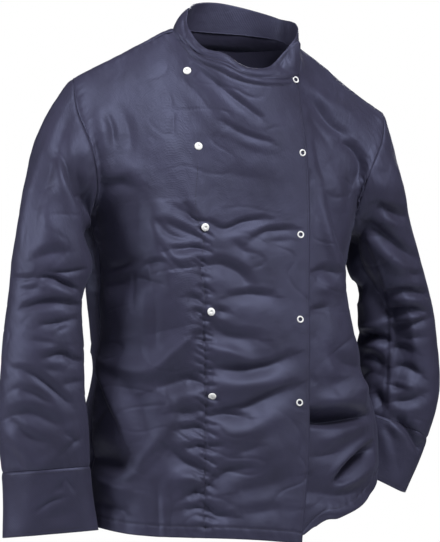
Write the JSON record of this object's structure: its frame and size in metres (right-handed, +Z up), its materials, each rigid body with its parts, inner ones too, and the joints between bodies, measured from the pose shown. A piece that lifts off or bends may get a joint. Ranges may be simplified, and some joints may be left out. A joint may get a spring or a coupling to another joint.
{
  "type": "chef shirt",
  "caption": "Double-breasted long-sleeved jacket with a stand collar, press-stud front and deep cuffs, in the hollow form it has when worn.",
  "frame": {"origin": "middle of the neck at the level of the shoulder seams, where a wearer or a dress form carries the shirt", "axes": "-Y is the shirt's front, -X its right sleeve as worn, +Z up from hem to collar"},
  "size_m": [0.7009, 0.2453, 0.7785],
  "materials": {
    "navy_twill": "navy polyester-cotton twill with a soft satin sheen",
    "white_plastic": "smooth white plastic press-stud caps and rings"
  },
  "bodies": {
    "root": {"front_right": "navy_twill", "front_left": "navy_twill", "back": "navy_twill", "sleeve_right": "navy_twill", "sleeve_left": "navy_twill", "cuff_right": "navy_twill", "cuff_left": "navy_twill", "collar": "navy_twill", "stud_cap_1": "white_plastic", "stud_cap_2": "white_plastic", "stud_cap_3": "white_plastic", "stud_cap_4": "white_plastic", "stud_cap_5": "white_plastic", "stud_ring_1": "white_plastic", "stud_ring_2": "white_plastic", "stud_ring_3": "white_plastic", "stud_ring_4": "white_plastic", "stud_ring_5": "white_plastic"}
  },
  "joints": []
}
